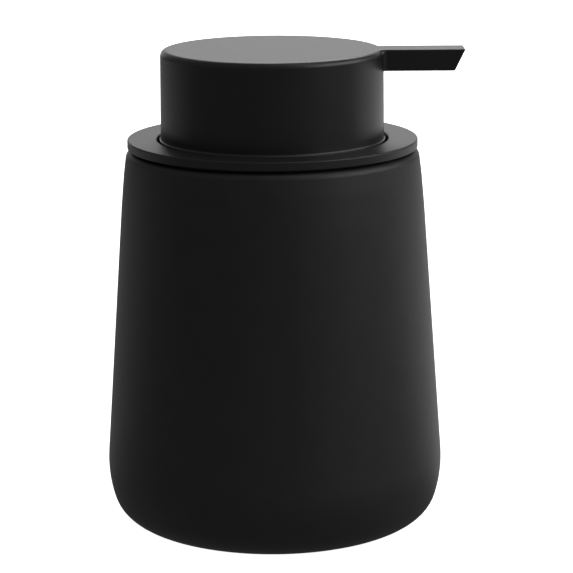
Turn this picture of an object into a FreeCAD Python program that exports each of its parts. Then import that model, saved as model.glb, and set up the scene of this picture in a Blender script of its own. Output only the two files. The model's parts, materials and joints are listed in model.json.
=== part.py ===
import FreeCAD, Part
import math
import os
import re
import Sketcher

# A counter-top soap pump dispenser. A stoneware vessel is closed by a lid whose collar lies on the
# rim. A deep well in the lid takes the wide pump cap when it is pressed, and holds a screw-on
# lotion pump with its dip tube. Millimetres, +Z up, the origin at the middle of the base, and the
# spout along +X.

# Driving dimensions: radii are from the Z axis, heights are above the surface it stands on.
SIZES = {
    # vessel: corners of the outside, then the radius that rounds each of them
    "foot_radius": 45.5,
    "foot_height": 0.2,
    "foot_round": 10.0,
    "flank_radius": 49.4,
    "flank_height": 13.9,
    "flank_round": 36.0,
    "neck_radius": 43.65,
    "neck_height": 93.3,
    "shoulder_radius": 42.8,
    "shoulder_height": 102.7,
    "rim_radius": 41.94,
    "rim_height": 109.3,
    "rim_round": 2.2,
    # vessel: the inside
    "mouth_radius": 37.4,
    "mouth_height": 96.0,
    "mouth_round": 1.0,
    "inner_neck_radius": 40.0,
    "inner_neck_height": 76.0,
    "inner_flank_radius": 44.3,
    "inner_flank_height": 16.0,
    "inner_flank_round": 24.0,
    "inner_floor_radius": 42.2,
    "inner_floor_height": 7.5,
    "inner_floor_round": 5.0,
    # anti-slip pad in the vessel's base
    "pad_radius": 33.0,
    "pad_thickness": 1.6,
    "pad_clearance": 0.2,
    "pad_round": 0.4,
    # lid: collar, well and threaded neck
    "collar_radius": 41.66,
    "collar_bottom": 110.0,
    "collar_top": 112.5,
    "collar_round": 0.4,
    "collar_under_round": 0.25,
    "well_radius": 33.2,
    "well_rim_round": 0.5,
    "well_wall": 2.2,
    "well_floor_top": 91.5,
    "well_corner_round": 1.2,
    "groove_bottom": 98.0,
    "groove_top": 101.0,
    "groove_depth": 1.0,
    "neck_bore": 9.6,
    "thread_root": 12.2,
    "thread_crest": 13.2,
    "thread_pitch": 3.0,
    "thread_turns": 1.6,
    "thread_start": 94.0,
    "thread_foot": 0.9,
    "thread_tip": 0.25,
    "thread_sink": 0.3,
    "neck_top": 101.0,
    # seals of the lid and of the neck
    "ring_lip_radius": 37.35,
    "ring_waist_radius": 36.0,
    "ring_clearance": 0.05,
    "ring_lip_start": 0.5,
    "ring_lip_end": 0.8,
    "ring_waist_half": 0.1,
    "gasket_inner": 35.6,
    "gasket_outer": 39.7,
    "washer_inner": 9.7,
    "washer_outer": 12.1,
    "washer_top": 101.8,
    # screw closure
    "closure_radius": 15.6,
    "closure_bore": 13.4,
    "closure_bottom": 92.4,
    "closure_top": 104.9,
    "closure_hole": 9.1,
    "closure_round": 0.6,
    "closure_thread_crest": 12.6,
    "closure_thread_turns": 1.2,
    "closure_ribs": 36,
    "rib_groove_radius": 0.5,
    # pump housing
    "flange_top": 103.2,
    "housing_radius": 9.3,
    "housing_step": 88.0,
    "barrel_radius": 6.8,
    "barrel_top": 85.0,
    "barrel_bore": 5.6,
    "barrel_bottom": 54.5,
    "barrel_floor": 55.0,
    "chamber_radius": 5.0,
    "chamber_shoulder": 52.5,
    "chamber_bore": 3.4,
    "seat_top": 50.6,
    "seat_bottom": 48.4,
    "seat_hole": 1.5,
    "socket_radius": 4.2,
    "socket_top": 47.6,
    "socket_bottom": 41.0,
    "vent_radius": 0.6,
    "vent_height": 86.6,
    # dip tube, inlet ball and ball retainer
    "dip_tube_radius": 3.0,
    "dip_tube_bore": 2.2,
    "dip_tube_bottom": 9.5,
    "dip_tube_slant": 3.0,
    "dip_tube_wedge_margin": 1.0,
    "dip_tube_fit": 0.02,
    "ball_radius": 2.4,
    "ball_height": 50.36,
    "retainer_radius": 5.5,
    "retainer_top": 57.4,
    "retainer_boss_radius": 1.6,
    "retainer_boss_top": 59.4,
    "retainer_port_radius": 0.65,
    "retainer_port_circle": 2.65,
    "retainer_ports": 6,
    # stem guide
    "guide_bottom": 93.0,
    "guide_seat_bore": 7.1,
    "guide_radius": 7.05,
    "guide_bore": 3.48,
    "guide_relief": 4.8,
    "guide_relief_bottom": 96.0,
    "guide_relief_top": 100.5,
    "guide_relief_slope": 0.8,
    "guide_flange_radius": 8.9,
    "guide_top": 104.4,
    # stem, its foot and its O-ring
    "stem_radius": 3.4,
    "stem_bore": 1.9,
    "stem_bottom": 83.9,
    "stem_top": 128.0,
    "stem_collar_radius": 4.9,
    "stem_collar_bottom": 91.0,
    "stem_collar_top": 92.8,
    "stem_port_radius": 0.8,
    "stem_port_height": 86.6,
    "o_ring_height": 124.0,
    "o_ring_section": 0.42,
    "o_ring_groove": 2.58,
    "o_ring_groove_width": 1.1,
    "foot_flange_radius": 4.6,
    "foot_flange_bottom": 82.1,
    "foot_plug_top": 85.3,
    "foot_guide_radius": 3.3,
    "foot_guide_bottom": 79.5,
    # piston
    "piston_radius": 5.55,
    "piston_waist": 5.0,
    "piston_bore": 3.45,
    "piston_counterbore": 4.1,
    "piston_counterbore_top": 87.6,
    "piston_top": 89.9,
    "piston_seat_gap": 0.02,
    "piston_lip": 1.4,
    "piston_lip_slope": 0.4,
    "piston_seat_slope": 0.6,
    # return spring
    "spring_radius": 4.2,
    "spring_wire_radius": 0.45,
    "spring_coils": 7,
    # pump cap with its spout
    "cap_radius": 31.83,
    "cap_skirt_radius": 32.07,
    "cap_bore": 29.9,
    "cap_top": 138.0,
    "cap_bottom": 107.5,
    "cap_roof": 1.6,
    "cap_round": 1.7,
    "cap_skirt_round": 0.5,
    "spout_root": 30.3,
    "spout_lap_width": 1.5,
    "spout_lap_height": 0.3,
    "spout_reach": 54.9,
    "spout_under_reach": 51.9,
    "spout_height": 6.1,
    "spout_width": 9.6,
    "spout_edge_round": 0.3,
    "spout_end_band": 0.4,
    "spout_bore": 1.55,
    "spout_axis_height": 134.5,
    # spout tube
    "spout_tube_radius": 1.5,
    "spout_tube_bore": 1.05,
    "spout_tube_start": 3.6,
    "spout_tube_end": 51.4,
    # head core: the part inside the cap that sits on the stem
    "core_radius": 6.6,
    "core_bottom": 119.5,
    "core_bore": 3.46,
    "core_bore_top": 128.3,
    "core_channel_top": 135.6,
    "core_port": 1.52,
    "core_port_start": 3.5,
    "web_bottom": 129.6,
    "web_top": 131.2,
    "web_radius": 29.85,
    "web_rim_bottom": 126.6,
    "web_rim_wall": 1.5,
    "web_ribs": 4,
    "web_rib_thickness": 1.2,
    "web_rib_reach": 27.0,
    "web_rib_lap": 0.6,
    "web_rib_gap": 0.1,
    "web_rib_turn": 45.0,
}

# Where a sketch's shapes lie until their formulas place them.
LOOSE_CENTRE = 60.0
LOOSE_SPREAD = 30.0
LOOSE_RADIUS = 2.0

EDGE_MATCH = 1e-4
LEAST_CUT = 1e-6
UP = FreeCAD.Vector(0, 0, 1)

doc = FreeCAD.newDocument("soap_dispenser")


def fill_sheet():
    """Write every driving dimension into the spreadsheet, one per row, with its alias."""
    sheet = doc.addObject("Spreadsheet::Sheet", "sizes")
    for row, (alias, value) in enumerate(SIZES.items(), start=1):
        sheet.set("A%d" % row, alias)
        sheet.set("B%d" % row, str(value))
        sheet.setAlias("B%d" % row, alias)
    doc.recompute()


def from_sheet(formula):
    """Turn a formula of plain names into one that reads the spreadsheet's cells."""
    return re.sub(r"\b([a-z][a-z_]*)\b(?!\()", r"sizes.\1", formula)


def origin_plane(body, role):
    """Return one of a body's own origin planes."""
    return next(item for item in body.Origin.OriginFeatures if item.Role == role)


def new_sketch(body, name, plane):
    """Start a sketch on one of the body's origin planes."""
    sketch = body.newObject("Sketcher::SketchObject", name)
    sketch.AttachmentSupport = (origin_plane(body, plane), [""])
    sketch.MapMode = "FlatFace"
    return sketch


def place_point(sketch, line, end, across, up):
    """Tie one point of a sketch to the two formulas that give its place."""
    if across == "0":
        sketch.addConstraint(Sketcher.Constraint("PointOnObject", line, end, -2))
    else:
        index = sketch.addConstraint(Sketcher.Constraint("DistanceX", -1, 1, line, end, 1.0 + line))
        sketch.setExpression("Constraints[%d]" % index, from_sheet(across))
    if up == "0":
        sketch.addConstraint(Sketcher.Constraint("PointOnObject", line, end, -1))
    else:
        index = sketch.addConstraint(Sketcher.Constraint("DistanceY", -1, 1, line, end, 1.0 + line))
        sketch.setExpression("Constraints[%d]" % index, from_sheet(up))


def draw_outline(sketch, outline):
    """Draw a closed outline of straight lines whose corners are placed by formulas."""
    count = len(outline)
    centre = FreeCAD.Vector(LOOSE_CENTRE, LOOSE_CENTRE, 0)
    spoke = FreeCAD.Vector(LOOSE_SPREAD, 0, 0)
    ring = [
        centre + FreeCAD.Rotation(UP, 360 * n / count).multVec(spoke)
        for n in range(count)
    ]
    for n in range(count):
        sketch.addGeometry(Part.LineSegment(ring[n], ring[(n + 1) % count]), False)
    for n in range(count):
        sketch.addConstraint(Sketcher.Constraint("Coincident", n, 2, (n + 1) % count, 1))
    for n, corner in enumerate(outline):
        place_point(sketch, n, 1, corner[0], corner[1])


def draw_circle(sketch, across, up, radius):
    """Draw a circle whose centre and radius are formulas."""
    centre = FreeCAD.Vector(LOOSE_RADIUS, LOOSE_CENTRE, 0)
    circle = sketch.addGeometry(Part.Circle(centre, UP, LOOSE_RADIUS), False)
    place_point(sketch, circle, 3, across, up)
    index = sketch.addConstraint(Sketcher.Constraint("Radius", circle, LOOSE_RADIUS))
    sketch.setExpression("Constraints[%d]" % index, from_sheet(radius))


def rings_at(shape, radius, height):
    """Name the full circular edges about the Z axis with this radius and height."""
    names = []
    for number, edge in enumerate(shape.Edges, start=1):
        if not isinstance(edge.Curve, Part.Circle):
            continue
        centre = edge.Curve.Center
        off_axis = math.hypot(centre.x, centre.y)
        off_size = abs(centre.z - height) + abs(edge.Curve.Radius - radius)
        if off_axis + off_size < EDGE_MATCH:
            names.append("Edge%d" % number)
    return names


def round_edges(body, name, edges, radius):
    """Fillet some edges of the body's newest feature."""
    base = body.Tip
    fillet = body.newObject("PartDesign::Fillet", name)
    fillet.Base = (base, edges)
    fillet.setExpression("Radius", from_sheet(radius))
    body.Tip = fillet
    doc.recompute()
    return fillet


def turned(name, outline):
    """Make a body by turning a half section about the Z axis.

    Each corner is (radius, height), or (radius, height, fillet radius) where it is rounded.
    """
    body = doc.addObject("PartDesign::Body", name)
    sketch = new_sketch(body, name + "_section", "XZ_Plane")
    draw_outline(sketch, outline)
    turn = body.newObject("PartDesign::Revolution", name + "_turn")
    turn.Profile = sketch
    turn.ReferenceAxis = (sketch, ["V_Axis"])
    turn.Angle = 360.0
    sketch.Visibility = False
    doc.recompute()
    for number, corner in enumerate(outline):
        if len(corner) == 3:
            point = sketch.Geometry[number].StartPoint
            edges = rings_at(body.Shape, point.x, point.y)
            round_edges(body, "%s_round_%d" % (name, number), edges, corner[2])
    return body


def cut_through(body, sketch, name, reverse=False, both=False):
    """Cut a sketch through the whole body, to one side of its plane or to both."""
    before = body.Shape.Volume
    pocket = body.newObject("PartDesign::Pocket", name)
    pocket.Profile = sketch
    pocket.Type = "ThroughAll"
    if both:
        pocket.SideType = "Symmetric"
    pocket.Reversed = reverse
    sketch.Visibility = False
    body.Tip = pocket
    doc.recompute()
    if body.Shape.Volume > before - LEAST_CUT:
        raise RuntimeError(name + " cuts nothing")
    return pocket


def repeat_around(body, feature, name, occurrences):
    """Repeat a feature in even steps about the Z axis."""
    pattern = body.newObject("PartDesign::PolarPattern", name)
    pattern.Originals = [feature]
    pattern.Axis = (feature.Profile[0], ["N_Axis"])
    pattern.Angle = 360.0
    pattern.setExpression("Occurrences", from_sheet(occurrences))
    body.Tip = pattern
    doc.recompute()
    return pattern


def add_thread(body, name, start, turns, depths):
    """Wind a screw thread's ridge onto a body; depths are the radii of its foot and its crest."""
    foot, crest = depths
    ridge = new_sketch(body, name + "_section", "XZ_Plane")
    draw_outline(ridge, [
        (foot, start + " - thread_foot"),
        (crest, start + " - thread_tip"),
        (crest, start + " + thread_tip"),
        (foot, start + " + thread_foot"),
    ])
    thread = body.newObject("PartDesign::AdditiveHelix", name)
    thread.Profile = ridge
    thread.ReferenceAxis = (ridge, ["V_Axis"])
    thread.Mode = "pitch-turns-angle"
    thread.setExpression("Pitch", from_sheet("thread_pitch"))
    thread.setExpression("Turns", from_sheet(turns))
    ridge.Visibility = False
    body.Tip = thread
    doc.recompute()


def make_vessel():
    """The stoneware vessel: a soft-cornered, slightly tapered pot with a shouldered rim."""
    return turned("vessel", [
        ("0", "pad_thickness"),
        ("pad_radius + pad_clearance", "pad_thickness"),
        ("pad_radius + pad_clearance", "foot_height"),
        ("foot_radius", "foot_height", "foot_round"),
        ("flank_radius", "flank_height", "flank_round"),
        ("neck_radius", "neck_height"),
        ("shoulder_radius", "shoulder_height"),
        ("rim_radius", "rim_height", "rim_round"),
        ("mouth_radius", "rim_height", "mouth_round"),
        ("mouth_radius", "mouth_height"),
        ("inner_neck_radius", "inner_neck_height"),
        ("inner_flank_radius", "inner_flank_height", "inner_flank_round"),
        ("inner_floor_radius", "inner_floor_height", "inner_floor_round"),
        ("0", "inner_floor_height"),
    ])


def make_base_pad():
    """The silicone disc that the dispenser stands on."""
    return turned("base_pad", [
        ("0", "0"),
        ("pad_radius", "0", "pad_round"),
        ("pad_radius", "pad_thickness"),
        ("0", "pad_thickness"),
    ])


def make_lid():
    """The lid: a flat collar, the well for the pump cap and the threaded neck in its floor."""
    body = turned("lid", [
        ("neck_bore", "well_floor_top - well_wall"),
        ("well_radius + well_wall", "well_floor_top - well_wall", "well_corner_round"),
        ("well_radius + well_wall", "groove_bottom"),
        ("well_radius + well_wall - groove_depth", "groove_bottom"),
        ("well_radius + well_wall - groove_depth", "groove_top"),
        ("well_radius + well_wall", "groove_top"),
        ("well_radius + well_wall", "collar_bottom"),
        ("collar_radius", "collar_bottom", "collar_under_round"),
        ("collar_radius", "collar_top", "collar_round"),
        ("well_radius", "collar_top", "well_rim_round"),
        ("well_radius", "well_floor_top", "well_corner_round"),
        ("thread_root", "well_floor_top"),
        ("thread_root", "neck_top"),
        ("neck_bore", "neck_top"),
    ])
    add_thread(body, "lid_thread", "thread_start", "thread_turns", [
        "thread_root - thread_sink", "thread_crest"
    ])
    return body


def make_lid_gasket():
    """The flat silicone washer that the collar rests on."""
    return turned("lid_gasket", [
        ("gasket_inner", "rim_height"),
        ("gasket_outer", "rim_height"),
        ("gasket_outer", "collar_bottom"),
        ("gasket_inner", "collar_bottom"),
    ])


def make_mouth_ring():
    """The two-lipped silicone ring in the well's groove, which grips the vessel's mouth."""
    inner = "well_radius + well_wall - groove_depth + ring_clearance"
    middle = "(groove_bottom + groove_top) / 2"
    return turned("mouth_ring", [
        (inner, "groove_bottom + ring_clearance"),
        ("ring_waist_radius", "groove_bottom + ring_clearance"),
        ("ring_lip_radius", "groove_bottom + ring_lip_start"),
        ("ring_lip_radius", "groove_bottom + ring_lip_end"),
        ("ring_waist_radius", middle + " - ring_waist_half"),
        ("ring_waist_radius", middle + " + ring_waist_half"),
        ("ring_lip_radius", "groove_top - ring_lip_end"),
        ("ring_lip_radius", "groove_top - ring_lip_start"),
        ("ring_waist_radius", "groove_top - ring_clearance"),
        (inner, "groove_top - ring_clearance"),
    ])


def make_neck_washer():
    """The soft washer between the threaded neck and the pump housing's flange."""
    return turned("neck_washer", [
        ("washer_inner", "neck_top"),
        ("washer_outer", "neck_top"),
        ("washer_outer", "washer_top"),
        ("washer_inner", "washer_top"),
    ])


def make_closure():
    """The ribbed screw cap that holds the pump housing down on the neck."""
    body = turned("pump_closure", [
        ("closure_bore", "closure_bottom"),
        ("closure_radius", "closure_bottom"),
        ("closure_radius", "closure_top", "closure_round"),
        ("closure_hole", "closure_top"),
        ("closure_hole", "flange_top"),
        ("closure_bore", "flange_top"),
    ])
    add_thread(body, "closure_thread", "thread_start + thread_pitch / 2", "closure_thread_turns", [
        "closure_bore + thread_sink", "closure_thread_crest"
    ])
    groove = new_sketch(body, "closure_groove_section", "XY_Plane")
    draw_circle(groove, "closure_radius + rib_groove_radius / 4", "0", "rib_groove_radius")
    cut = cut_through(body, groove, "closure_groove", reverse=True)
    repeat_around(body, cut, "closure_grooves", "closure_ribs")
    return body


def make_housing():
    """The pump housing: flange, barrel, ball chamber with its conical seat, and tube socket."""
    body = turned("pump_housing", [
        ("guide_seat_bore", "flange_top"),
        ("washer_outer", "flange_top"),
        ("washer_outer", "washer_top"),
        ("housing_radius", "washer_top"),
        ("housing_radius", "housing_step"),
        ("barrel_radius", "barrel_top"),
        ("barrel_radius", "barrel_bottom"),
        ("chamber_radius", "chamber_shoulder"),
        ("chamber_radius", "seat_bottom"),
        ("socket_radius", "socket_top"),
        ("socket_radius", "socket_bottom"),
        ("dip_tube_radius + dip_tube_fit", "socket_bottom"),
        ("dip_tube_radius + dip_tube_fit", "socket_top"),
        ("seat_hole", "socket_top"),
        ("seat_hole", "seat_bottom"),
        ("chamber_bore", "seat_top"),
        ("chamber_bore", "barrel_floor"),
        ("barrel_bore", "barrel_floor"),
        ("barrel_bore", "guide_bottom"),
        ("guide_seat_bore", "guide_bottom"),
    ])
    vent = new_sketch(body, "housing_vent_section", "XZ_Plane")
    draw_circle(vent, "0", "vent_height", "vent_radius")
    cut_through(body, vent, "housing_vent")
    return body


def make_dip_tube():
    """The tube that reaches down to the vessel's floor, cut aslant at its end."""
    body = turned("dip_tube", [
        ("dip_tube_bore", "dip_tube_bottom"),
        ("dip_tube_radius", "dip_tube_bottom"),
        ("dip_tube_radius", "socket_top"),
        ("dip_tube_bore", "socket_top"),
    ])
    side = "(dip_tube_radius + dip_tube_wedge_margin)"
    low = "dip_tube_bottom - dip_tube_wedge_margin"
    wedge = new_sketch(body, "dip_tube_wedge_section", "XZ_Plane")
    draw_outline(wedge, [
        ("-" + side, low),
        (side, low),
        (side, "dip_tube_bottom + dip_tube_slant + dip_tube_wedge_margin"),
    ])
    cut_through(body, wedge, "dip_tube_wedge", both=True)
    return body


def make_inlet_ball():
    """The check ball on the inlet seat."""
    ball = doc.addObject("Part::Sphere", "inlet_ball")
    ball.setExpression("Radius", from_sheet("ball_radius"))
    ball.setExpression("Placement.Base.z", from_sheet("ball_height"))
    return ball


def make_ball_retainer():
    """The ported disc above the ball, which is also the spring's lower seat."""
    body = turned("ball_retainer", [
        ("0", "barrel_floor"),
        ("retainer_radius", "barrel_floor"),
        ("retainer_radius", "retainer_top"),
        ("retainer_boss_radius", "retainer_top"),
        ("retainer_boss_radius", "retainer_boss_top"),
        ("0", "retainer_boss_top"),
    ])
    port = new_sketch(body, "retainer_port_section", "XY_Plane")
    draw_circle(port, "retainer_port_circle", "0", "retainer_port_radius")
    cut = cut_through(body, port, "retainer_port", reverse=True)
    repeat_around(body, cut, "retainer_port_ring", "retainer_ports")
    return body


def make_stem_guide():
    """The bush in the top of the housing that guides the stem and stops its upstroke."""
    return turned("stem_guide", [
        ("guide_bore", "guide_bottom"),
        ("guide_radius", "guide_bottom"),
        ("guide_radius", "flange_top"),
        ("guide_flange_radius", "flange_top"),
        ("guide_flange_radius", "guide_top"),
        ("guide_bore", "guide_top"),
        ("guide_bore", "guide_relief_top"),
        ("guide_relief", "guide_relief_top - guide_relief_slope"),
        ("guide_relief", "guide_relief_bottom + guide_relief_slope"),
        ("guide_bore", "guide_relief_bottom"),
    ])


def make_stem():
    """The hollow stem, with its stop collar, O-ring groove and inlet ports."""
    groove_low = "o_ring_height - o_ring_groove_width / 2"
    groove_high = "o_ring_height + o_ring_groove_width / 2"
    body = turned("stem", [
        ("stem_bore", "stem_bottom"),
        ("stem_radius", "stem_bottom"),
        ("stem_radius", "stem_collar_bottom"),
        ("stem_collar_radius", "stem_collar_bottom"),
        ("stem_collar_radius", "stem_collar_top"),
        ("stem_radius", "stem_collar_top"),
        ("stem_radius", groove_low),
        ("o_ring_groove", groove_low),
        ("o_ring_groove", groove_high),
        ("stem_radius", groove_high),
        ("stem_radius", "stem_top"),
        ("stem_bore", "stem_top"),
    ])
    port = new_sketch(body, "stem_port_section", "XZ_Plane")
    draw_circle(port, "0", "stem_port_height", "stem_port_radius")
    cut_through(body, port, "stem_port", both=True)
    return body


def make_stem_o_ring():
    """The O-ring that seals the turning head on the stem."""
    ring = doc.addObject("Part::Torus", "stem_o_ring")
    ring.setExpression("Radius1", from_sheet("o_ring_groove + o_ring_section"))
    ring.setExpression("Radius2", from_sheet("o_ring_section"))
    ring.setExpression("Placement.Base.z", from_sheet("o_ring_height"))
    return ring


def make_stem_foot():
    """The plug in the stem's lower end: the piston's valve seat and the spring's upper seat."""
    return turned("stem_foot", [
        ("0", "foot_guide_bottom"),
        ("foot_guide_radius", "foot_guide_bottom"),
        ("foot_guide_radius", "foot_flange_bottom"),
        ("foot_flange_radius", "foot_flange_bottom"),
        ("foot_flange_radius", "stem_bottom"),
        ("stem_bore", "stem_bottom"),
        ("stem_bore", "foot_plug_top"),
        ("0", "foot_plug_top"),
    ])


def make_piston():
    """The two-lipped piston, which slips a little on the stem to open and shut its ports."""
    low = "stem_bottom + piston_seat_gap"
    return turned("piston", [
        ("piston_counterbore", low),
        ("piston_radius", low),
        ("piston_radius", low + " + piston_lip"),
        ("piston_waist", low + " + piston_lip + piston_lip_slope"),
        ("piston_waist", "piston_top - piston_lip - piston_lip_slope"),
        ("piston_radius", "piston_top - piston_lip"),
        ("piston_radius", "piston_top"),
        ("piston_bore", "piston_top"),
        ("piston_bore", "piston_counterbore_top + piston_seat_slope"),
        ("piston_counterbore", "piston_counterbore_top"),
    ])


def make_return_spring():
    """The compression spring between the ball retainer and the stem's foot."""
    path = doc.addObject("Part::Helix", "spring_path")
    height = "foot_flange_bottom - retainer_top - 2 * spring_wire_radius"
    path.setExpression("Radius", from_sheet("spring_radius"))
    path.setExpression("Height", from_sheet(height))
    path.setExpression("Pitch", from_sheet("(" + height + ") / spring_coils"))
    path.setExpression("Placement.Base.z", from_sheet("retainer_top + spring_wire_radius"))
    wire = doc.addObject("Part::Circle", "spring_wire")
    wire.setExpression("Radius", from_sheet("spring_wire_radius"))
    upright = FreeCAD.Rotation(FreeCAD.Vector(1, 0, 0), 90)
    wire.Placement = FreeCAD.Placement(FreeCAD.Vector(0, 0, 0), upright)
    wire.setExpression("Placement.Base.x", from_sheet("spring_radius"))
    wire.setExpression("Placement.Base.z", from_sheet("retainer_top + spring_wire_radius"))
    spring = doc.addObject("Part::Sweep", "return_spring")
    doc.recompute()
    spring.Sections = [wire]
    spring.Spine = (path, ["Edge1"])
    spring.Solid = True
    spring.Frenet = True
    return spring


def make_pump_cap():
    """The wide cap that the hand presses, with its flat bar of a spout."""
    roof_under = "cap_top - cap_roof"
    body = turned("pump_cap", [
        ("cap_bore", "cap_bottom"),
        ("cap_skirt_radius", "cap_bottom", "cap_skirt_round"),
        ("cap_radius", "cap_top", "cap_round"),
        ("0", "cap_top"),
        ("0", roof_under),
        ("cap_bore", roof_under),
    ])
    side = new_sketch(body, "spout_side", "XZ_Plane")
    draw_outline(side, [
        ("cap_radius - cap_round - spout_lap_width", "cap_top"),
        ("cap_radius - cap_round - spout_lap_width", roof_under + " + spout_lap_height"),
        ("spout_root", roof_under + " + spout_lap_height"),
        ("spout_root", "cap_top - spout_height"),
        ("spout_under_reach", "cap_top - spout_height"),
        ("spout_reach", "cap_top"),
    ])
    spout = body.newObject("PartDesign::Pad", "spout")
    spout.Profile = side
    spout.SideType = "Symmetric"
    spout.setExpression("Length", from_sheet("spout_width"))
    side.Visibility = False
    body.Tip = spout
    doc.recompute()
    round_spout_end(body)
    bore = new_sketch(body, "spout_bore_section", "YZ_Plane")
    draw_circle(bore, "0", "spout_axis_height", "spout_bore")
    cut_through(body, bore, "spout_bore", reverse=True)
    return body


def round_spout_end(body):
    """Break the edges of the spout's slanted end."""
    near_end = SIZES["spout_under_reach"] - SIZES["spout_end_band"]
    edges = [
        "Edge%d" % number
        for number, edge in enumerate(body.Shape.Edges, start=1)
        if edge.BoundBox.XMin > near_end
    ]
    round_edges(body, "spout_edge_break", edges, "spout_edge_round")


def make_head_core():
    """The moulding inside the cap: stem socket, elbow channel, web plate and ribs."""
    roof_under = "cap_top - cap_roof"
    body = turned("head_core", [
        ("core_bore", "core_bottom"),
        ("core_radius", "core_bottom"),
        ("core_radius", "web_bottom"),
        ("web_radius - web_rim_wall", "web_bottom"),
        ("web_radius - web_rim_wall", "web_rim_bottom"),
        ("web_radius", "web_rim_bottom"),
        ("web_radius", "web_top"),
        ("core_radius", "web_top"),
        ("core_radius", roof_under),
        ("0", roof_under),
        ("0", "core_channel_top"),
        ("stem_bore", "core_channel_top"),
        ("stem_bore", "core_bore_top"),
        ("core_bore", "core_bore_top"),
    ])
    channel = new_sketch(body, "core_channel_section", "YZ_Plane")
    draw_circle(channel, "0", "spout_axis_height", "spout_tube_bore")
    cut_through(body, channel, "core_channel", reverse=True)
    port = new_sketch(body, "core_port_section", "YZ_Plane")
    port.setExpression("AttachmentOffset.Base.z", from_sheet("core_port_start"))
    draw_circle(port, "0", "spout_axis_height", "core_port")
    cut_through(body, port, "core_port_cut", reverse=True)
    rib = new_sketch(body, "web_rib_section", "XY_Plane")
    rib.AttachmentOffset.Rotation = FreeCAD.Rotation(UP, SIZES["web_rib_turn"])
    rib.setExpression("AttachmentOffset.Base.z", from_sheet("web_top"))
    half = "web_rib_thickness / 2"
    draw_outline(rib, [
        ("core_radius - web_rib_lap", "-" + half),
        ("web_rib_reach", "-" + half),
        ("web_rib_reach", half),
        ("core_radius - web_rib_lap", half),
    ])
    pad = body.newObject("PartDesign::Pad", "web_rib")
    pad.Profile = rib
    pad.setExpression("Length", from_sheet("cap_top - cap_roof - web_top - web_rib_gap"))
    rib.Visibility = False
    body.Tip = pad
    doc.recompute()
    repeat_around(body, pad, "web_rib_ring", "web_ribs")
    return body


def make_spout_tube():
    """The liner tube that carries soap from the core to the spout's end."""
    def rod(name, radius):
        piece = doc.addObject("Part::Cylinder", name)
        piece.Placement.Rotation = FreeCAD.Rotation(FreeCAD.Vector(0, 1, 0), 90)
        piece.setExpression("Radius", from_sheet(radius))
        piece.setExpression("Height", from_sheet("spout_tube_end - spout_tube_start"))
        piece.setExpression("Placement.Base.x", from_sheet("spout_tube_start"))
        piece.setExpression("Placement.Base.z", from_sheet("spout_axis_height"))
        return piece

    tube = doc.addObject("Part::Cut", "spout_tube")
    tube.Base = rod("spout_tube_outside", "spout_tube_radius")
    tube.Tool = rod("spout_tube_inside", "spout_tube_bore")
    return tube


def check_document():
    """Stop if any object of the document failed to build."""
    for item in doc.Objects:
        if "Invalid" in item.State or "Error" in item.State:
            raise RuntimeError("%s failed: %s" % (item.Name, item.State))


def write_parts(pieces):
    """Write each sub-part to its own STEP file, after checking that every one is a sound solid."""
    for piece in pieces:
        shape = piece.Shape
        if shape.isNull() or not shape.isValid() or len(shape.Solids) != 1:
            raise RuntimeError("%s is not one valid solid" % piece.Label)
    os.makedirs("parts", exist_ok=True)
    for piece in pieces:
        piece.Shape.exportStep("parts/%s.step" % piece.Label)
        print("%-14s %10.1f mm3" % (piece.Label, piece.Shape.Volume))


fill_sheet()
PIECES = [
    make_vessel(),
    make_base_pad(),
    make_lid(),
    make_lid_gasket(),
    make_mouth_ring(),
    make_neck_washer(),
    make_closure(),
    make_housing(),
    make_dip_tube(),
    make_inlet_ball(),
    make_ball_retainer(),
    make_stem_guide(),
    make_stem(),
    make_stem_o_ring(),
    make_stem_foot(),
    make_piston(),
    make_return_spring(),
    make_pump_cap(),
    make_head_core(),
    make_spout_tube(),
]
doc.recompute()
check_document()
write_parts(PIECES)
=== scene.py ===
"""The looks of the soap pump dispenser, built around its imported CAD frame.

Shapes are given in millimetres and made in metres, +Z up, with the Z axis through the middle of
the vessel and the spout along +X.
"""

import json
import math

import bmesh
import bpy
from mathutils import Matrix, Vector


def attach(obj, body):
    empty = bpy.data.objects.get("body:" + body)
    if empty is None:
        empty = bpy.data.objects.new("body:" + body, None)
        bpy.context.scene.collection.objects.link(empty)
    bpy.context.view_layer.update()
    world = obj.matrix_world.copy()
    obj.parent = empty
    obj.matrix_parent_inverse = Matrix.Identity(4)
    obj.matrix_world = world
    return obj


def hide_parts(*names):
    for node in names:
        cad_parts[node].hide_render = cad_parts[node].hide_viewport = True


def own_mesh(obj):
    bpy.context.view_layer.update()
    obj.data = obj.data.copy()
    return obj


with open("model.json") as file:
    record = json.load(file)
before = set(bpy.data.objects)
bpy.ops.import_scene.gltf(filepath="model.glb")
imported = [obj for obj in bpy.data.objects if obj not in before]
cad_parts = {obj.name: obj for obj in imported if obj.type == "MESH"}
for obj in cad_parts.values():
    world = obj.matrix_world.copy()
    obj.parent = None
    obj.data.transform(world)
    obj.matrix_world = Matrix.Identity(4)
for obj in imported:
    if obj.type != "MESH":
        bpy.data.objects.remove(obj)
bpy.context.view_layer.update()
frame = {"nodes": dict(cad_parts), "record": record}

MM = 0.001
TURN = 2 * math.pi
QUARTER = math.pi / 2
ROUND = 256  # segments of a large turned piece
SMALL_ROUND = 192  # segments of a turned piece that is mostly hidden
ARC_STEPS = 12  # steps along each rounding
SHARP_ANGLE = math.radians(32)
FLAT_WEIGHT = 100  # how strongly large faces pull the normals
SAME_POINT = 1e-6
SAME_HEIGHT = 1e-4

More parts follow.
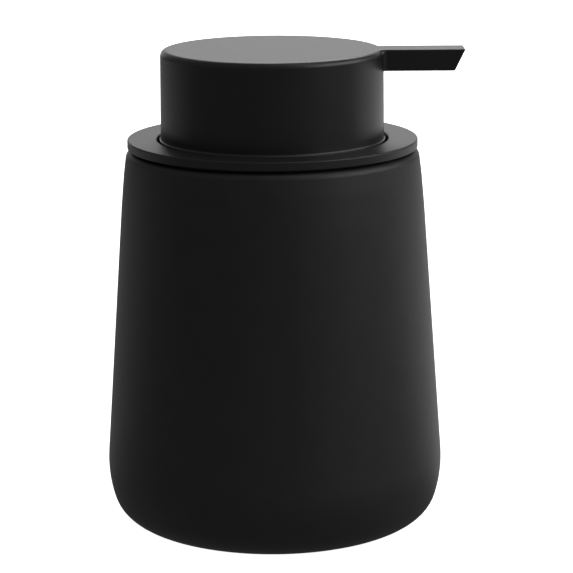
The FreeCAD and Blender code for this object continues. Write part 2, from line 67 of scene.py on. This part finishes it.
# The vessel, the lid and their seals
PAD_THICKNESS = 1.6
PAD_RADIUS = 33.0
PAD_ROUND = 0.4
PAD_SEAT_RADIUS = 33.2
PAD_GROOVES = [(12.0, 13.2), (19.0, 20.2), (26.0, 27.2)]
GROOVE_DEPTH = 0.3
GROOVE_SLOPE = 0.2
FOOT_HEIGHT = 0.2
FLOOR_HEIGHT = 7.5
MOUTH_RADIUS = 37.4
RIM_HEIGHT = 109.3
COLLAR_RADIUS = 41.66
COLLAR_BOTTOM = 110.0
COLLAR_TOP = 112.5
WELL_RADIUS = 33.2
WELL_OUTSIDE = 35.4
WELL_FLOOR = 91.5
WELL_UNDERSIDE = 89.3
NECK_BORE = 9.6
NECK_TOP = 101.0
THREAD_ROOT = 12.2
THREAD_CREST = 13.2
THREAD_PITCH = 3.0
THREAD_START = 94.0
THREAD_TURNS = 1.6
THREAD_STEPS = 96  # in one turn
THREAD_FOOT = 0.9  # half the ridge's width at its root
THREAD_TIP = 0.25  # half its width at its crest
THREAD_SINK = 0.3  # how deep it starts inside the neck
RING_BOTTOM = 98.0
RING_TOP = 101.0
RING_GROOVE = 1.0
RING_INNER = 34.45
RING_WAIST = 36.0
RING_LIP = 37.35
RING_LIP_ROUND = 0.1
GASKET_INNER = 35.6
GASKET_OUTER = 39.7
GASKET_ROUND = 0.15

# The pump cap and its spout
CAP_TOP = 138.0
CAP_BOTTOM = 107.5
CAP_RADIUS = 31.83
SKIRT_RADIUS = 32.07
BEAD_RADIUS = 32.38
BEAD_TOP = 112.6
BEAD_UNDER = 111.6
BEAD_SLOPE = 0.3
BEAD_FOOT_ROUND = 0.6
BEAD_TOP_ROUND = 0.12
BEAD_UNDER_ROUND = 0.2
CAP_BORE = 29.9
BORE_EDGE_ROUND = 0.2
ROOF_UNDER = 136.4
CAP_ROUND = 1.7
SKIRT_ROUND = 0.5
SPOUT_UNDER = 131.9
SPOUT_HALF_WIDTH = 4.8
SPOUT_REACH = 54.9
SPOUT_UNDER_REACH = 51.9
SPOUT_EDGE = 0.3
SPOUT_BLEND = 1.6
BORE_RADIUS = 1.55
BORE_HEIGHT = 134.5
BORE_SPARE = 3.0
BORE_STEPS = 64

# The return spring
SPRING_RADIUS = 4.2
WIRE_RADIUS = 0.45
SPRING_BOTTOM = 57.4
SPRING_TOP = 82.1
SPRING_COILS = 7
SPRING_STEPS = 48  # in one coil
WIRE_STEPS = 16

# Half sections of the turned pieces, by (radius, height) or (radius, height, rounding)
VESSEL_PROFILE = [
    (0, PAD_THICKNESS),
    (PAD_SEAT_RADIUS, PAD_THICKNESS),
    (PAD_SEAT_RADIUS, FOOT_HEIGHT),
    (45.5, FOOT_HEIGHT, 10.0),  # foot
    (49.4, 13.9, 36.0),  # flank
    (43.65, 93.3, 150.0),  # neck
    (42.8, 102.7, 60.0),  # shoulder
    (41.94, RIM_HEIGHT, 2.2),  # rim
    (MOUTH_RADIUS, RIM_HEIGHT, 1.0),
    (MOUTH_RADIUS, 96.0, 20.0),  # inside, from the mouth down to the floor
    (40.0, 76.0, 60.0),
    (44.3, 16.0, 24.0),
    (42.2, FLOOR_HEIGHT, 5.0),
    (0, FLOOR_HEIGHT),
]
LID_PROFILE = [
    (NECK_BORE, WELL_UNDERSIDE),
    (WELL_OUTSIDE, WELL_UNDERSIDE, 1.2),
    (WELL_OUTSIDE, RING_BOTTOM),
    (WELL_OUTSIDE - RING_GROOVE, RING_BOTTOM),
    (WELL_OUTSIDE - RING_GROOVE, RING_TOP),
    (WELL_OUTSIDE, RING_TOP),
    (WELL_OUTSIDE, COLLAR_BOTTOM),
    (COLLAR_RADIUS, COLLAR_BOTTOM, 0.25),
    (COLLAR_RADIUS, COLLAR_TOP, 0.4),
    (WELL_RADIUS, COLLAR_TOP, 0.5),
    (WELL_RADIUS, WELL_FLOOR, 1.2),
    (THREAD_ROOT, WELL_FLOOR),
    (THREAD_ROOT, NECK_TOP, 0.3),
    (NECK_BORE, NECK_TOP),
]
GASKET_PROFILE = [
    (GASKET_INNER, RIM_HEIGHT),
    (GASKET_OUTER, RIM_HEIGHT, GASKET_ROUND),
    (GASKET_OUTER, COLLAR_BOTTOM, GASKET_ROUND),
    (GASKET_INNER, COLLAR_BOTTOM),
]
MOUTH_RING_PROFILE = [
    (RING_INNER, 98.05),
    (RING_WAIST, 98.05),
    (RING_LIP, 98.5, RING_LIP_ROUND),  # lower lip
    (RING_LIP, 98.8, RING_LIP_ROUND),
    (RING_WAIST, 99.4),
    (RING_WAIST, 99.6),
    (RING_LIP, 100.2, RING_LIP_ROUND),  # upper lip
    (RING_LIP, 100.5, RING_LIP_ROUND),
    (RING_WAIST, 100.95),
    (RING_INNER, 100.95),
]

# Surfaces: slot, material, dark and light colour, lowest and highest roughness, then the size and
# depth in millimetres of the fine grain and of the slow waves
SURFACES = [
    ("stoneware", "stoneware_soft_black", (0.010, 0.010, 0.0095), (0.013, 0.013, 0.0125),
     (0.50, 0.58), (0.35, 0.006), (7.0, 0.012)),
    ("lid_plastic", "lid_satin_black", (0.009, 0.009, 0.009), (0.011, 0.011, 0.011),
     (0.43, 0.49), (0.25, 0.004), (9.0, 0.008)),
    ("cap_plastic", "cap_satin_black", (0.009, 0.009, 0.009), (0.011, 0.011, 0.011),
     (0.36, 0.42), (0.25, 0.004), (9.0, 0.008)),
    ("core_plastic", "core_dark_grey", (0.045, 0.045, 0.047), (0.055, 0.055, 0.057),
     (0.45, 0.55), (0.4, 0.01), (6.0, 0.01)),
    ("closure_plastic", "closure_black", (0.035, 0.035, 0.037), (0.045, 0.045, 0.047),
     (0.38, 0.46), (0.3, 0.008), (6.0, 0.01)),
    ("pump_plastic", "pump_natural_white", (0.78, 0.79, 0.78), (0.85, 0.86, 0.85),
     (0.32, 0.40), (0.3, 0.006), (5.0, 0.01)),
    ("piston_plastic", "piston_milky", (0.72, 0.74, 0.77), (0.78, 0.80, 0.83),
     (0.30, 0.38), (0.25, 0.004), (4.0, 0.008)),
    ("silicone", "silicone_black", (0.026, 0.026, 0.028), (0.034, 0.034, 0.036),
     (0.60, 0.72), (0.2, 0.008), (5.0, 0.01)),
    ("washer_foam", "washer_foam_white", (0.62, 0.62, 0.60), (0.80, 0.80, 0.78),
     (0.80, 0.92), (0.25, 0.05), (1.2, 0.05)),
    ("clear_tube", "tube_milky_clear", (0.76, 0.78, 0.79), (0.84, 0.86, 0.87),
     (0.16, 0.24), (0.3, 0.004), (3.0, 0.01)),
    ("spring_steel", "spring_steel", (0.55, 0.55, 0.56), (0.68, 0.68, 0.69),
     (0.22, 0.36), (0.12, 0.004), (2.0, 0.004)),
    ("valve_steel", "valve_steel", (0.66, 0.66, 0.67), (0.74, 0.74, 0.75),
     (0.05, 0.10), (0.15, 0.001), (2.0, 0.002)),
]
# What a slot's shader has besides, by input
SHADER_EXTRAS = {
    "pump_plastic": {"Subsurface Weight": 0.15, "Subsurface Scale": 1.5 * MM},
    "silicone": {"IOR": 1.41},
    "clear_tube": {"Alpha": 0.6},
    "spring_steel": {"Metallic": 1.0},
    "valve_steel": {"Metallic": 1.0},
}
NOISE_LOW = 0.3  # a noise's middle range
NOISE_HIGH = 0.7
NOISE_DETAIL = 2.0

# The camera in metres and radians
CAMERA_PLACE = (0.00375, -0.66131, 0.22313)
CAMERA_PITCH = -0.2299
CAMERA_ROLL = -0.0066
CAMERA_LENS = 146.4
CAMERA_NEAREST = 0.01

# Soft boxes: name, place, what they face, width, height and power in watts.
# The table ones shine up through the floor, as in a lit shooting table.
SOFT_BOXES = [
    ("back_high", (0.12, 1.3, 1.2), (0.02, 0.0, 0.2), 0.8, 0.6, 8.1),
    ("back_low", (0.0, 1.3, 0.22), (0.0, 0.0, 0.15), 1.36, 0.4, 2.25),
    ("right_high", (1.1, -0.25, 0.7), (0.0, -0.075, 0.4), 1.5, 0.6, 7.6),
    ("overhead_right", (0.6, -0.3, 1.2), (0.18, -0.09, 0.0), 0.6, 1.2, 1.9),
    ("table_back_right", (0.64, 0.64, -0.03), (0.64, 0.64, 1.0), 1.2, 1.1, 4.4),
    ("table_back_left", (-0.58, 0.65, -0.03), (-0.58, 0.65, 1.0), 1.24, 1.1, 1.8),
    ("table_front", (0.0, -0.45, -0.03), (0.0, -0.45, 1.0), 2.4, 1.1, 1.3),
]
ROOM_LIGHT = 0.19  # strength of the even light from above the horizon
ROOM_HORIZON = 0.1  # its fade, as the height of a direction
WHITE_LIGHT = 1.0  # strength of the background the camera sees
FLOOR_HALF = 3.0  # metres
FLOOR_DROP = 0.0001  # metres below the base pad
FLOOR_CELLS = 8
FLOOR_WHITE = 0.9
WHITE = (1, 1, 1, 1)


# ---------------------------------------------------------------- shapes

def arc_points(corner, before, after, radius):
    """The points of the arc that rounds a corner between the two points beside it."""
    to_before = (before - corner).normalized()
    to_after = (after - corner).normalized()
    half = to_before.angle(to_after) / 2
    centre = corner + (to_before + to_after).normalized() * radius / math.sin(half)
    reach = radius / math.tan(half)
    start = corner + to_before * reach - centre
    end = corner + to_after * reach - centre
    first = math.atan2(start.y, start.x)
    sweep = math.atan2(end.y, end.x) - first
    sweep = (sweep + math.pi) % TURN - math.pi
    return [
        centre + radius * Vector((math.cos(first + sweep * k / ARC_STEPS),
                                  math.sin(first + sweep * k / ARC_STEPS)))
        for k in range(ARC_STEPS + 1)
    ]


def rounded(corners):
    """The outline through corners of (radius, height) or (radius, height, rounding), closed."""
    flat = [Vector(corner[:2]) for corner in corners]
    points = []
    for index, corner in enumerate(corners):
        if len(corner) == 3:
            after = flat[(index + 1) % len(flat)]
            points += arc_points(flat[index], flat[index - 1], after, corner[2])
        else:
            points.append(flat[index])
    return points


def join_rings(bm, ring, other):
    """Faces between two rings of vertices. A ring of one vertex is a point on the axis."""
    count = max(len(ring), len(other))
    if count == 1:
        return
    for k in range(count):
        after = (k + 1) % count
        corners = [ring[k % len(ring)], ring[after % len(ring)],
                   other[after % len(other)], other[k % len(other)]]
        bm.faces.new(list(dict.fromkeys(corners)))


def turned(bm, corners, segments=ROUND):
    """Turns a closed half section about the Z axis."""
    rings = []
    for point in rounded(corners):
        steps = segments if point.x > 0 else 1
        rings.append([
            bm.verts.new((point.x * math.cos(TURN * k / steps),
                          point.x * math.sin(TURN * k / steps), point.y))
            for k in range(steps)
        ])
    for index, ring in enumerate(rings):
        join_rings(bm, rings[index - 1], ring)


def swept(bm, sections):
    """Skins a row of closed sections, each a list of points, and closes both ends."""
    rings = [[bm.verts.new(point) for point in section] for section in sections]
    for ring, other in zip(rings, rings[1:]):
        join_rings(bm, ring, other)
    bm.faces.new(rings[0])
    bm.faces.new(rings[-1])


def mesh_object(name, bm):
    """An object in metres from a mesh in millimetres."""
    bmesh.ops.recalc_face_normals(bm, faces=bm.faces)
    bmesh.ops.scale(bm, vec=(MM, MM, MM), verts=bm.verts)
    mesh = bpy.data.meshes.new(name)
    bm.to_mesh(mesh)
    bm.free()
    made = bpy.data.objects.new(name, mesh)
    bpy.context.scene.collection.objects.link(made)
    return made


def shade(made):
    """Smooth shading but for the sharp edges."""
    made.data.shade_smooth()
    made.data.set_sharp_from_angle(angle=SHARP_ANGLE)


def piece(name, bm, body, slot, material, *nodes):
    """Makes the object and puts it on its CAD body in place of the CAD nodes."""
    made = mesh_object(name, bm)
    shade(made)
    made.data.materials.append(material)
    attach(made, body)
    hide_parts(*nodes)
    return made


def combine(made, bm, operation):
    """Joins a shape to an object or cuts it out, and leaves the object one closed mesh."""
    tool = mesh_object("tool", bm)
    change = made.modifiers.new("combine", "BOOLEAN")
    change.operation = operation
    change.solver = "EXACT"
    change.object = tool
    solid = made.evaluated_get(bpy.context.evaluated_depsgraph_get())
    made.data = bpy.data.meshes.new_from_object(solid)
    made.data.name = made.name
    made.modifiers.clear()
    bpy.data.objects.remove(tool)
    shade(made)


def keep_flats_flat(made):
    """Weights the normals by area, so that a flat beside a small rounding stays flat."""
    weighted = made.modifiers.new("flat_faces", "WEIGHTED_NORMAL")
    weighted.keep_sharp = True
    weighted.weight = FLAT_WEIGHT


# ---------------------------------------------------------------- materials

def blank_material(name):
    """A new material, its node tree, its shader and its object coordinates."""
    material = bpy.data.materials.new(name)
    material.use_nodes = True
    tree = material.node_tree
    place = tree.nodes.new("ShaderNodeTexCoord").outputs["Object"]
    return material, tree, tree.nodes["Principled BSDF"], place


def noise(tree, place, size):
    """A noise whose features are about size millimetres across."""
    texture = tree.nodes.new("ShaderNodeTexNoise")
    texture.inputs["Scale"].default_value = 1 / (size * MM)
    texture.inputs["Detail"].default_value = NOISE_DETAIL
    tree.links.new(place, texture.inputs["Vector"])
    return texture.outputs["Fac"]


def spread(tree, value, low, high):
    """Takes a noise's middle range to low and high."""
    node = tree.nodes.new("ShaderNodeMapRange")
    node.inputs["From Min"].default_value = NOISE_LOW
    node.inputs["From Max"].default_value = NOISE_HIGH
    node.inputs["To Min"].default_value = low
    node.inputs["To Max"].default_value = high
    tree.links.new(value, node.inputs["Value"])
    return node.outputs["Result"]


def tint(tree, value, dark, light):
    """A colour that varies from dark to light with a noise."""
    node = tree.nodes.new("ShaderNodeMix")
    node.data_type = "RGBA"
    node.inputs["A"].default_value = (*dark, 1)
    node.inputs["B"].default_value = (*light, 1)
    tree.links.new(spread(tree, value, 0, 1), node.inputs["Factor"])
    return node.outputs["Result"]


def relief(tree, shader, layers):
    """Bumps the surface with layers of (height field, depth in millimetres)."""
    normal = None
    for height, depth in layers:
        node = tree.nodes.new("ShaderNodeBump")
        node.inputs["Distance"].default_value = depth * MM
        tree.links.new(height, node.inputs["Height"])
        if normal:
            tree.links.new(normal, node.inputs["Normal"])
        normal = node.outputs["Normal"]
    tree.links.new(normal, shader.inputs["Normal"])


def surface(name, dark, light, rough, grain, waves, extras):
    """A surface with mottled colour and roughness, a fine grain and slow waves.

    rough is (lowest, highest). grain and waves are (size, depth) in millimetres. extras are the
    shader's other settings, by input."""
    material, tree, shader, place = blank_material(name)
    fine = noise(tree, place, grain[0])
    slow = noise(tree, place, waves[0])
    tree.links.new(tint(tree, slow, dark, light), shader.inputs["Base Color"])
    tree.links.new(spread(tree, fine, *rough), shader.inputs["Roughness"])
    for socket, value in extras.items():
        shader.inputs[socket].default_value = value
    relief(tree, shader, [(slow, waves[1]), (fine, grain[1])])
    return material


def make_materials():
    """One material for each slot of the record, by the slot's name."""
    return {
        slot: surface(*settings, SHADER_EXTRAS.get(slot, {}))
        for slot, *settings in SURFACES
    }


def finish_cad_nodes(materials):
    """Gives each CAD node the material of its slot in the record."""
    for part in frame["record"]["subparts"]:
        node = frame["nodes"][part["node"]]
        node.data.materials.clear()
        node.data.materials.append(materials[part["material_slot"]])


# ---------------------------------------------------------------- vessel and lid

def make_vessel(materials):
    """The stoneware pot, its outside one smooth line from the foot to the rim."""
    bm = bmesh.new()
    turned(bm, VESSEL_PROFILE)
    pot = piece("vessel_pot", bm, "vessel", "stoneware", materials["stoneware"], "vessel")
    keep_flats_flat(pot)


def make_base_pad(materials):
    """The silicone pad, with shallow rings moulded into its underside."""
    corners = [(0, 0)]
    for inner, outer in PAD_GROOVES:
        corners += [
            (inner, 0),
            (inner + GROOVE_SLOPE, GROOVE_DEPTH),
            (outer - GROOVE_SLOPE, GROOVE_DEPTH),
            (outer, 0),
        ]
    corners += [(PAD_RADIUS, 0, PAD_ROUND), (PAD_RADIUS, PAD_THICKNESS), (0, PAD_THICKNESS)]
    bm = bmesh.new()
    turned(bm, corners, SMALL_ROUND)
    pad = piece("non_slip_pad", bm, "vessel", "silicone", materials["silicone"], "base_pad")
    keep_flats_flat(pad)


def thread_ridge():
    """The helical ridge of the lid's neck."""
    steps = round(THREAD_TURNS * THREAD_STEPS)
    root = THREAD_ROOT - THREAD_SINK
    corners = [
        (root, -THREAD_FOOT),
        (THREAD_CREST, -THREAD_TIP),
        (THREAD_CREST, THREAD_TIP),
        (root, THREAD_FOOT),
    ]
    sections = []
    for k in range(steps + 1):
        angle = TURN * THREAD_TURNS * k / steps
        height = THREAD_START + THREAD_PITCH * angle / TURN
        sections.append([
            (radius * math.cos(angle), radius * math.sin(angle), height + rise)
            for radius, rise in corners
        ])
    bm = bmesh.new()
    swept(bm, sections)
    return bm


def make_lid(materials):
    """The lid moulding: collar, well and threaded neck."""
    bm = bmesh.new()
    turned(bm, LID_PROFILE)
    lid = piece("lid_collar_and_well", bm, "lid", "lid_plastic", materials["lid_plastic"], "lid")
    combine(lid, thread_ridge(), "UNION")
    keep_flats_flat(lid)


def make_seals(materials):
    """The flat gasket under the collar and the lipped ring that grips the vessel's mouth."""
    silicone = materials["silicone"]
    for name, profile, node in (
        ("collar_gasket", GASKET_PROFILE, "lid_gasket"),
        ("mouth_grip_ring", MOUTH_RING_PROFILE, "mouth_ring"),
    ):
        bm = bmesh.new()
        turned(bm, profile, SMALL_ROUND)
        piece(name, bm, "lid", "silicone", silicone, node)


# ---------------------------------------------------------------- pump cap

class Blend:
    """Where the cap's wall of some radius runs into the spout's -Y side."""

    def __init__(self, radius):
        y = SPOUT_HALF_WIDTH + SPOUT_BLEND
        x = math.sqrt((radius + SPOUT_BLEND) ** 2 - y ** 2)
        self.angle = math.atan2(y, x)
        self.centre = Vector((x, -y))


def spout_side(blend, reach):
    """Half the spout's outline, from the cap's wall along its -Y side to its end."""
    steps = ARC_STEPS
    rows = []
    for k in range(1, steps + 1):
        share = k / steps
        angle = blend.angle + (QUARTER - blend.angle) * share
        normal = Vector((math.cos(angle), -math.sin(angle)))
        rows.append((blend.centre - SPOUT_BLEND * normal, normal, share))
    corner = Vector((reach - SPOUT_EDGE, SPOUT_EDGE - SPOUT_HALF_WIDTH))
    straight = corner.x - blend.centre.x
    for k in range(1, steps):
        along = Vector((blend.centre.x + straight * k / steps, -SPOUT_HALF_WIDTH))
        rows.append((along, Vector((0, -1)), 1.0))
    for k in range(steps + 1):
        angle = QUARTER * k / steps
        normal = Vector((math.sin(angle), -math.cos(angle)))
        rows.append((corner + SPOUT_EDGE * normal, normal, 1.0))
    return rows


def cap_outline(radius, reach):
    """Cap and spout from above, as rows of (point, outward normal, share of spout).

    The rows on the cap's wall come first, from the spout's +Y side round through -X."""
    blend = Blend(radius)
    rows = []
    for k in range(ROUND + 1):
        angle = blend.angle + (TURN - 2 * blend.angle) * k / ROUND
        normal = Vector((math.cos(angle), math.sin(angle)))
        rows.append((radius * normal, normal, 0.0))
    side = spout_side(blend, reach)
    mirror = Vector((1, -1))
    return rows + side + [
        (point * mirror, normal * mirror, share) for point, normal, share in reversed(side)
    ]


def wall_radius(height):
    """The cap's outside radius at a height: the wall widens a little towards its skirt."""
    share = (CAP_TOP - height) / (CAP_TOP - CAP_BOTTOM)
    return CAP_RADIUS + (SKIRT_RADIUS - CAP_RADIUS) * share


def under_edge(angle, ease):
    """Height and inset on the rounding of the spout's lower edge, none on the cap's wall."""
    edge = SPOUT_EDGE * ease
    return SPOUT_UNDER + edge * (1 - math.cos(angle)), edge * (1 - math.sin(angle))


def top_edge(angle, ease):
    """Height and inset on the rounding of the top edge, the cap's at 0 and the spout's at 1."""
    edge = CAP_ROUND + (SPOUT_EDGE - CAP_ROUND) * ease
    return CAP_TOP - edge * (1 - math.sin(angle)), edge * (1 - math.cos(angle))


def band_ring(bm, low, high, edge, angle):
    """One ring of the band between the outlines low and high, at an angle of a rounding."""
    ring = []
    for (low_point, low_normal, share), (high_point, high_normal, _) in zip(low, high):
        ease = share * share * (3 - 2 * share)
        height, inset = edge(angle, ease)
        up = (height - SPOUT_UNDER) / (CAP_TOP - SPOUT_UNDER)
        normal = low_normal.lerp(high_normal, up)
        point = low_point.lerp(high_point, up) - inset * normal
        ring.append(bm.verts.new((point.x, point.y, height)))
    return ring


def cap_and_spout(bm):
    """The band from the spout's underside up to the flat top, with every edge rounded.

    Returns the band's lowest ring and its highest one."""
    low = cap_outline(wall_radius(SPOUT_UNDER), SPOUT_UNDER_REACH)
    high = cap_outline(CAP_RADIUS, SPOUT_REACH)
    rings = [
        band_ring(bm, low, high, edge, QUARTER * k / ARC_STEPS)
        for edge in (under_edge, top_edge)
        for k in range(ARC_STEPS + 1)
    ]
    for lower, upper in zip(rings, rings[1:]):
        join_rings(bm, lower, upper)
    return rings[0], rings[-1]


def cap_wall_and_inside(bm, ring):
    """The cap's wall below the spout, its skirt and its inside, from a ring of vertices."""
    corners = [
        (wall_radius(SPOUT_UNDER), SPOUT_UNDER),
        (wall_radius(BEAD_TOP), BEAD_TOP, BEAD_FOOT_ROUND),
        (BEAD_RADIUS, BEAD_TOP - BEAD_SLOPE, BEAD_TOP_ROUND),
        (BEAD_RADIUS, BEAD_UNDER, BEAD_UNDER_ROUND),
        (wall_radius(BEAD_UNDER), BEAD_UNDER),
        (SKIRT_RADIUS, CAP_BOTTOM, SKIRT_ROUND),
        (CAP_BORE, CAP_BOTTOM, BORE_EDGE_ROUND),
        (CAP_BORE, ROOF_UNDER),
        (0, ROOF_UNDER),
    ]
    directions = [Vector(vert.co[:2]).normalized() for vert in ring]
    above = ring
    for point in rounded(corners)[1:]:
        if point.x > 0:
            here = [bm.verts.new((*(point.x * way), point.y)) for way in directions]
        else:
            here = [bm.verts.new((0, 0, point.y))]
        join_rings(bm, above, here)
        above = here


def spout_bore():
    """The hole for the spout tube, from the inside of the cap past the spout's end."""
    start = CAP_BORE - BORE_SPARE
    length = SPOUT_REACH + BORE_SPARE - start
    bm = bmesh.new()
    middle = Matrix.Translation((start + length / 2, 0, BORE_HEIGHT))
    lying = Matrix.Rotation(QUARTER, 4, "Y")
    bmesh.ops.create_cone(
        bm, cap_ends=True, segments=BORE_STEPS, radius1=BORE_RADIUS, radius2=BORE_RADIUS,
        depth=length, matrix=middle @ lying)
    return bm


def part_off_underside(made):
    """Marks the edges of the spout's flat underside sharp, so that it leaves the wall's shading."""
    mesh = made.data
    for edge in mesh.edges:
        heights = [mesh.vertices[vert].co.z / MM for vert in edge.vertices]
        if all(abs(height - SPOUT_UNDER) < SAME_HEIGHT for height in heights):
            edge.use_edge_sharp = True


def make_pump_cap(materials):
    """The cap and its spout in one piece: the cap's rounded rim fades into the spout's edges."""
    bm = bmesh.new()
    bottom, top = cap_and_spout(bm)
    bm.faces.new(top)
    wall, side = bottom[:ROUND + 1], bottom[ROUND + 1:]
    radius = wall_radius(SPOUT_UNDER)
    angle = Blend(radius).angle
    under = []
    for k in range(1, 2 * ARC_STEPS):
        here = -angle + angle * k / ARC_STEPS
        under.append(bm.verts.new((radius * math.cos(here), radius * math.sin(here), SPOUT_UNDER)))
    bm.faces.new([wall[-1], *side, wall[0], *reversed(under)])
    cap_wall_and_inside(bm, wall + under)
    bmesh.ops.remove_doubles(bm, verts=bm.verts, dist=SAME_POINT)
    made = piece("cap_with_spout", bm, "head", "cap_plastic", materials["cap_plastic"], "pump_cap")
    combine(made, spout_bore(), "DIFFERENCE")
    part_off_underside(made)
    keep_flats_flat(made)


# ---------------------------------------------------------------- return spring

def spring_height(turn):
    """The height of the wire's middle after some turns. The end coils lie closed."""
    wire = 2 * WIRE_RADIUS
    open_turns = SPRING_COILS - 2
    open_pitch = (SPRING_TOP - SPRING_BOTTOM - 3 * wire) / open_turns
    closed = min(turn, 1) + max(turn - SPRING_COILS + 1, 0)
    opened = min(max(turn - 1, 0), open_turns)
    return SPRING_BOTTOM + WIRE_RADIUS + closed * wire + opened * open_pitch


def make_return_spring(materials):
    """The coil spring under the stem's foot."""
    steps = SPRING_COILS * SPRING_STEPS
    up = Vector((0, 0, 1))
    sections = []
    for k in range(steps + 1):
        angle = TURN * SPRING_COILS * k / steps
        outward = Vector((math.cos(angle), math.sin(angle), 0))
        middle = SPRING_RADIUS * outward + spring_height(angle / TURN) * up
        sections.append([
            middle + WIRE_RADIUS * (math.cos(turn) * outward + math.sin(turn) * up)
            for turn in (TURN * j / WIRE_STEPS for j in range(WIRE_STEPS))
        ])
    bm = bmesh.new()
    swept(bm, sections)
    spring = piece("return_coil", bm, "lid", "spring_steel", materials["spring_steel"],
                   "return_spring")
    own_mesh(spring)


# ---------------------------------------------------------------- camera, light and floor

def make_camera():
    """The camera, a little above the dispenser and looking down at it."""
    camera = bpy.data.objects.new("camera", bpy.data.cameras.new("camera"))
    bpy.context.scene.collection.objects.link(camera)
    camera.data.lens = CAMERA_LENS
    camera.data.clip_start = CAMERA_NEAREST
    camera.matrix_world = (
        Matrix.Translation(CAMERA_PLACE)
        @ Matrix.Rotation(QUARTER + CAMERA_PITCH, 4, "X")
        @ Matrix.Rotation(CAMERA_ROLL, 4, "Z")
    )
    bpy.context.scene.camera = camera


def make_lights():
    """The soft boxes, each facing its target and unseen by the camera."""
    for name, place, target, width, height, power in SOFT_BOXES:
        light = bpy.data.lights.new(name, "AREA")
        light.shape = "RECTANGLE"
        light.size = width
        light.size_y = height
        light.energy = power
        box = bpy.data.objects.new(name, light)
        bpy.context.scene.collection.objects.link(box)
        box.location = place
        toward = Vector(target) - Vector(place)
        box.rotation_euler = toward.to_track_quat("-Z", "Y").to_euler()
        box.visible_camera = False


def make_surroundings():
    """A background that the camera sees white and the object sees as a dim, even room."""
    scene = bpy.context.scene
    scene.view_settings.view_transform = "Standard"
    world = bpy.data.worlds.new("studio")
    scene.world = world
    world.use_nodes = True
    nodes, links = world.node_tree.nodes, world.node_tree.links
    direction = nodes.new("ShaderNodeSeparateXYZ")
    links.new(nodes.new("ShaderNodeTexCoord").outputs["Generated"], direction.inputs["Vector"])
    fade = nodes.new("ShaderNodeMapRange")
    fade.interpolation_type = "SMOOTHSTEP"
    fade.inputs["From Min"].default_value = -ROOM_HORIZON
    fade.inputs["From Max"].default_value = ROOM_HORIZON
    fade.inputs["To Min"].default_value = 0
    fade.inputs["To Max"].default_value = ROOM_LIGHT
    links.new(direction.outputs["Z"], fade.inputs["Value"])
    room = nodes["Background"]
    room.inputs["Color"].default_value = WHITE
    links.new(fade.outputs["Result"], room.inputs["Strength"])
    white = nodes.new("ShaderNodeBackground")
    white.inputs["Color"].default_value = WHITE
    white.inputs["Strength"].default_value = WHITE_LIGHT
    choose = nodes.new("ShaderNodeMixShader")
    links.new(nodes.new("ShaderNodeLightPath").outputs["Is Camera Ray"], choose.inputs["Fac"])
    links.new(room.outputs["Background"], choose.inputs[1])
    links.new(white.outputs["Background"], choose.inputs[2])
    links.new(choose.outputs["Shader"], nodes["World Output"].inputs["Surface"])


def make_floor():
    """A shining white floor that neither shades the table lights nor lights the object.

    It is clear from below, so that the base can be looked at."""
    bm = bmesh.new()
    bmesh.ops.create_grid(bm, x_segments=FLOOR_CELLS, y_segments=FLOOR_CELLS, size=FLOOR_HALF)
    mesh = bpy.data.meshes.new("floor")
    bm.to_mesh(mesh)
    bm.free()
    floor = bpy.data.objects.new("floor", mesh)
    floor.location.z = -FLOOR_DROP
    bpy.context.scene.collection.objects.link(floor)
    material = bpy.data.materials.new("floor_white")
    material.use_nodes = True
    nodes, links = material.node_tree.nodes, material.node_tree.links
    shader = nodes["Principled BSDF"]
    shader.inputs["Base Color"].default_value = (FLOOR_WHITE, FLOOR_WHITE, FLOOR_WHITE, 1)
    shader.inputs["Emission Color"].default_value = WHITE
    shader.inputs["Emission Strength"].default_value = WHITE_LIGHT
    choose = nodes.new("ShaderNodeMixShader")
    links.new(nodes.new("ShaderNodeNewGeometry").outputs["Backfacing"], choose.inputs["Fac"])
    links.new(shader.outputs["BSDF"], choose.inputs[1])
    links.new(nodes.new("ShaderNodeBsdfTransparent").outputs["BSDF"], choose.inputs[2])
    links.new(choose.outputs["Shader"], nodes["Material Output"].inputs["Surface"])
    mesh.materials.append(material)
    floor.visible_glossy = False
    floor.visible_diffuse = False
    floor.visible_shadow = False


# ---------------------------------------------------------------- the whole scene

def main():
    """Builds the scene."""
    make_camera()
    materials = make_materials()
    finish_cad_nodes(materials)
    make_vessel(materials)
    make_base_pad(materials)
    make_lid(materials)
    make_seals(materials)
    make_pump_cap(materials)
    make_return_spring(materials)
    make_lights()
    make_surroundings()
    make_floor()


main()
